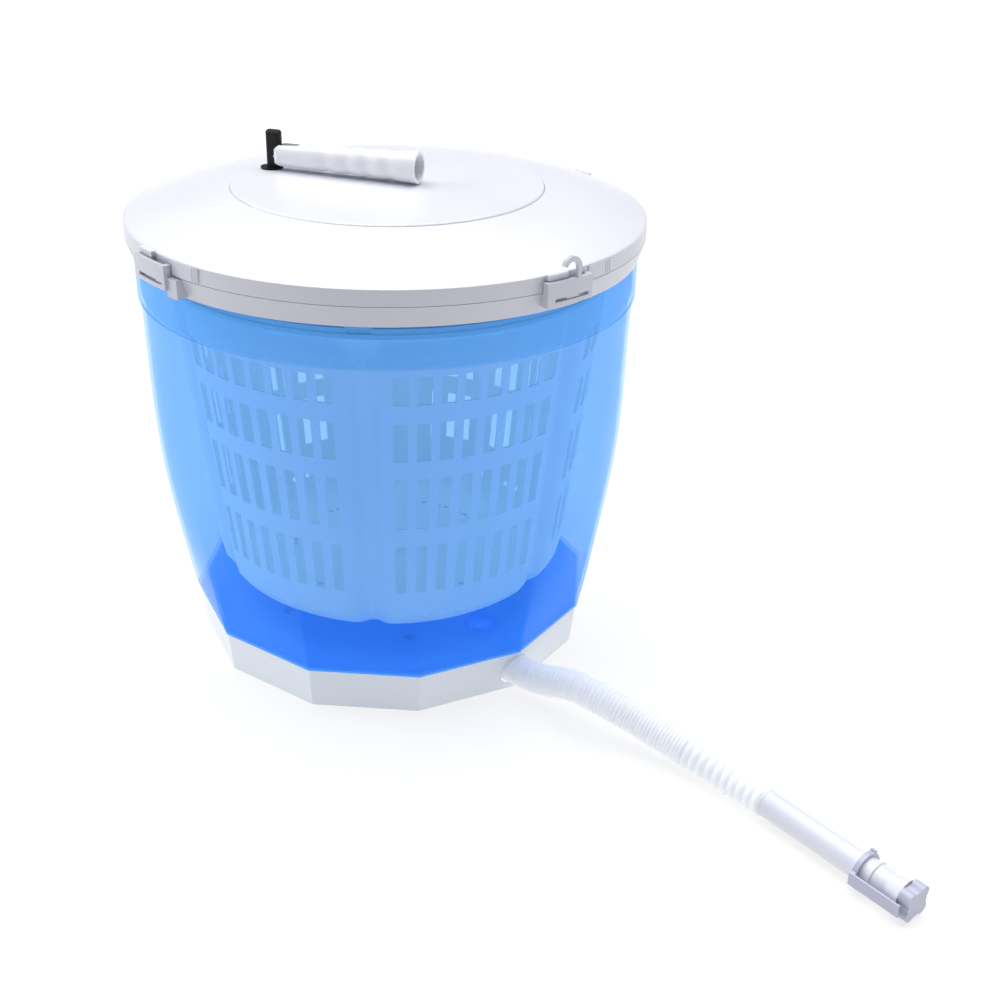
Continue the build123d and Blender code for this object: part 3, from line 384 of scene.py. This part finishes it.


# %% [markdown]
# The hose and its cuff are soft and thin, and light comes a little way through them. Subsurface
# scattering a few millimetres deep softens the shadows between the ribs. A faint glow on top of that
# is painted light, which brightens them where they lie in shade.

# %% Soft hose plastic
def hose_moulding():
    """Soft white plastic that lets a little light through its thin wall, with a faint painted glow."""
    material, surface = plastic("hose_moulding", (0.90, 0.92, 0.95), (0.93, 0.94, 0.97),
                                (0.38, 0.5), 700.0, 0.000006)
    surface.inputs["Subsurface Weight"].default_value = 0.3
    surface.inputs["Subsurface Radius"].default_value = (1.0, 1.0, 1.0)
    surface.inputs["Subsurface Scale"].default_value = 0.004
    # Painted light: a faint glow that brightens the hose and the cuff in shade.
    glow(surface, (0.86, 0.92, 1.0), 0.09)
    return material


soft_white = hose_moulding()
for piece in (hose, cuff):
    piece.data.materials.append(soft_white)
print(soft_white.name, "on the hose and the cuff")


# %% [markdown]
# The tub is clear blue plastic. Real glass bends light, and a path tracer pays for that with noise,
# while a wall this thin hardly moves what is behind it. So the wall is a blue film: most light goes
# straight through and is tinted, and the rest meets a glossy blue surface. The share of the surface
# grows where the wall is seen at a slant, which makes the edges of the tub denser, as they really are.
# The photograph shows a darker band above the shoulder and another at the foot, so the tint is deeper
# in the first and the surface denser in the second. Both are painted shade: the lid and the ring keep
# light off the wall above the shoulder, and light reaches the floor at the foot only past the basket
# and through several walls. The surface glows faintly blue, because clear plastic spreads light inside
# itself and a film can't. The drain's elbow, nut and seal are of the same clear plastic, as nothing
# dark shows through the tub's floor.

# %% Blue see-through wall
tub_shoulder = 0.273
tub_foot = 0.0357


def tub_wall():
    """Tinted film under a glossy surface, denser at a slant, with painted shade above the shoulder and
    at the foot.
    """
    material, tree, output = new_material("tub_wall")
    film = tree.nodes.new("ShaderNodeBsdfTransparent")
    pattern = noise(tree, 7.0)
    below = two_shades(tree, pattern, (0.74, 0.872, 0.995), (0.765, 0.89, 1.0))
    # Deeper tint above the shoulder: painted shade from the lid and the ring.
    above = two_shades(tree, pattern, (0.60, 0.80, 0.95), (0.625, 0.82, 0.965))
    tint = mixed_colour(tree, height_step(tree, tub_shoulder, 0.0, 1.0), below, above)
    tree.links.new(tint, film.inputs["Color"])
    surface = tree.nodes.new("ShaderNodeBsdfPrincipled")
    body = two_shades(tree, noise(tree, 11.0), (0.06, 0.35, 0.86), (0.08, 0.39, 0.90))
    tree.links.new(body, surface.inputs["Base Color"])
    glow(surface, (0.04, 0.30, 1.0), 0.28)
    tree.links.new(spread(tree, noise(tree, 45.0), 0.07, 0.13), surface.inputs["Roughness"])
    slant = tree.nodes.new("ShaderNodeLayerWeight")
    slant.inputs["Blend"].default_value = 0.28
    share = rescale(tree, slant.outputs["Facing"], 0.0, 1.0, 0.05, 0.42)
    total = tree.nodes.new("ShaderNodeMath")
    total.operation = "ADD"
    total.use_clamp = True
    tree.links.new(share, total.inputs[0])
    # Denser surface below the foot: painted shade on the tub's floor.
    tree.links.new(height_step(tree, tub_foot, 0.36, 0.0), total.inputs[1])
    mix = tree.nodes.new("ShaderNodeMixShader")
    tree.links.new(total.outputs["Value"], mix.inputs["Fac"])
    tree.links.new(film.outputs["BSDF"], mix.inputs[1])
    tree.links.new(surface.outputs["BSDF"], mix.inputs[2])
    tree.links.new(mix.outputs["Shader"], output.inputs["Surface"])
    return material


dress(tub_wall(), "tub", "drain_elbow", "drain_nut", "drain_seal")


# %% [markdown]
# The handle's post is the one black piece outside. Black plastic mirrors the white studio more than it
# shows its own shade, so it is kept matt and its mirror weak.

# %% Black post
def black_moulding():
    """Matt black plastic with a faint grey grain."""
    material, surface = plastic("black_moulding", (0.004, 0.004, 0.005), (0.007, 0.007, 0.009),
                                (0.42, 0.52), 1200.0, 0.00001)
    surface.inputs["Specular IOR Level"].default_value = 0.25
    return material


dress(black_moulding(), "handle_post")


# %% [markdown]
# The parts inside show only through the clear tub or with the lid lifted. Natural acetal is milky and
# a little warm, rubber is matt and nearly black, and the screws and pins are plated steel.

# %% Parts inside the machine
def natural_acetal():
    """Milky natural plastic of the gears and bushes."""
    return plastic("natural_acetal", (0.72, 0.71, 0.66), (0.78, 0.77, 0.72), (0.34, 0.46),
                   900.0, 0.00002)[0]


def dark_rubber():
    """Matt rubber of the feet and seals."""
    return plastic("dark_rubber", (0.018, 0.018, 0.019), (0.032, 0.032, 0.033), (0.62, 0.8),
                   1400.0, 0.00006)[0]


def plain_steel():
    """Zinc-plated steel of the screws and pins."""
    material, surface = plastic("plain_steel", (0.50, 0.51, 0.53), (0.62, 0.62, 0.63),
                                (0.24, 0.4), 2600.0, 0.00001)
    surface.inputs["Metallic"].default_value = 1.0
    return material


dress(natural_acetal(), "thrust_washer", "gear_plate", "planet_gear_1", "planet_gear_2",
      "planet_gear_3", "ring_gear", "disc_retainers", "sun_gear", "lid_bush", "handle_bush",
      "basket_bush")
dress(dark_rubber(), "rubber_feet", "lid_gasket", "shaft_seal")
dress(plain_steel(), "base_screws", "pivot_pin", "gear_plate_screws", "planet_pins",
      "planet_fasteners", "ring_gear_screws", "retainer_screws", "post_washer", "post_screw",
      "fold_pin", "cover_screw")

# %% [markdown]
# The photograph is a plain catalogue picture: a white sweep, and soft light mostly from above. The
# floor glows a little, so that it stays white to the horizon and the shadow stays faint.

# %% Floor
floor_size = 24.0

bpy.ops.object.select_all(action="DESELECT")
bpy.ops.mesh.primitive_plane_add(size=floor_size, location=(0.0, 0.0, 0.0))
floor = bpy.context.object
floor.name = "floor"


def pale_sweep():
    """White paper with the faintest mottling and a glow of its own."""
    material, tree, output = new_material("pale_sweep")
    surface = tree.nodes.new("ShaderNodeBsdfPrincipled")
    paper = two_shades(tree, noise(tree, 2.0), (0.37, 0.365, 0.355), (0.385, 0.38, 0.37))
    tree.links.new(paper, surface.inputs["Base Color"])
    glow(surface, (1.0, 0.993, 0.985), 0.66)
    surface.inputs["Roughness"].default_value = 0.9
    surface.inputs["Specular IOR Level"].default_value = 0.1
    tree.links.new(surface.outputs["BSDF"], output.inputs["Surface"])
    return material


floor.data.materials.append(pale_sweep())
print("Floor:", floor_size, "m across")


# %% [markdown]
# A very wide sun overhead lights the lid and the inside of the tub, and leans away from the camera, so
# that the skirt stays in shade. A world that darkens upwards keeps the blue deep, and two tall
# softboxes put long upright highlights on the tub.

# %% World and lights
horizon_colour = (0.52, 0.55, 0.64)
zenith_colour = (0.07, 0.085, 0.13)
aim_place = Vector((0.0, 0.0, 0.2))
sun_way = Vector((-0.22, 0.10, 1.0))
clear_walls = 24


def studio_world():
    """World that is pale at the horizon and dark above."""
    world = bpy.data.worlds.new("studio")
    world.use_nodes = True
    tree = world.node_tree
    background = tree.nodes["Background"]
    direction = tree.nodes.new("ShaderNodeTexCoord")
    split = tree.nodes.new("ShaderNodeSeparateXYZ")
    tree.links.new(direction.outputs["Generated"], split.inputs["Vector"])
    sky = ramp(tree, split.outputs["Z"], 0.02, horizon_colour, 0.16, zenith_colour)
    tree.links.new(sky, background.inputs["Color"])
    background.inputs["Strength"].default_value = 1.0
    return world


def hang_light(name, data, place, way):
    """Put a light at a place, shining in one direction."""
    light = bpy.data.objects.new(name, data)
    light.location = place
    light.rotation_mode = "QUATERNION"
    light.rotation_quaternion = way.to_track_quat("-Z", "Y")
    bpy.context.scene.collection.objects.link(light)


def softbox(name, place, width, height, power):
    """Rectangular light aimed at the middle of the machine."""
    data = bpy.data.lights.new(name, "AREA")
    data.shape = "RECTANGLE"
    data.size = width
    data.size_y = height
    data.energy = power
    hang_light(name, data, place, aim_place - Vector(place))


def ceiling(name, spread_angle, strength):
    """Wide even light from far above, which doesn't fade across the floor."""
    data = bpy.data.lights.new(name, "SUN")
    data.angle = math.radians(spread_angle)
    data.energy = strength
    data.color = (1.0, 0.995, 0.99)
    hang_light(name, data, (0.0, 0.0, 0.0), -sun_way)


bpy.context.scene.world = studio_world()
ceiling("overhead", 72.0, 3.65)
softbox("left_box", (-1.5, -1.5, 0.9), 0.9, 1.8, 15.0)
softbox("right_box", (1.5, 1.5, 0.9), 0.7, 1.8, 8.0)
bpy.context.scene.view_settings.view_transform = "Standard"
bpy.context.scene.cycles.transparent_max_bounces = clear_walls
print("Lights:", len(bpy.data.lights))
